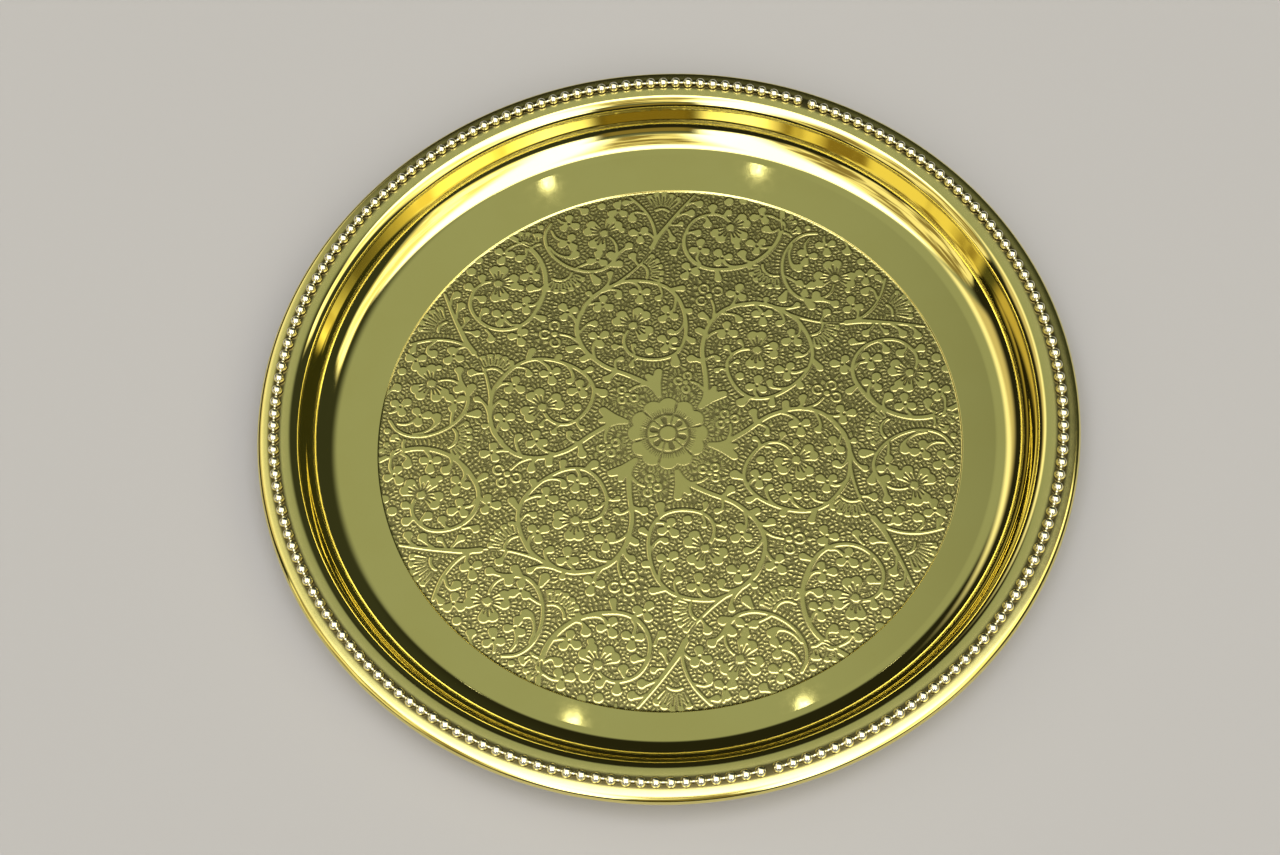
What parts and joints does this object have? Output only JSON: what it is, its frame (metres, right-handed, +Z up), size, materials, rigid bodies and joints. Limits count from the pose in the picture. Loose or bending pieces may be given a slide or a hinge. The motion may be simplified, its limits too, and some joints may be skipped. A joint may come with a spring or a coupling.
{
  "type": "brass serving tray",
  "caption": "Round brass serving tray with a coved wall, a crowned rim edged with beaded wire, and a sunk disc of scrolling floral ornament.",
  "frame": {"origin": "on the underside of the ornament disc, below the centre of the rim", "axes": "+Z up through the centre of the tray, +Y away from the viewer, +X to the right"},
  "size_m": [0.3049, 0.305, 0.0218],
  "materials": {
    "brass_sheet": "polished, satin on the floor",
    "brass_beads": "polished",
    "steel_wire": "drawn"
  },
  "bodies": {
    "root": {"tray_pan": "brass_sheet", "edge_wire": "steel_wire", "bead_wire_long": "brass_beads", "bead_wire_short": "brass_beads"}
  },
  "joints": []
}
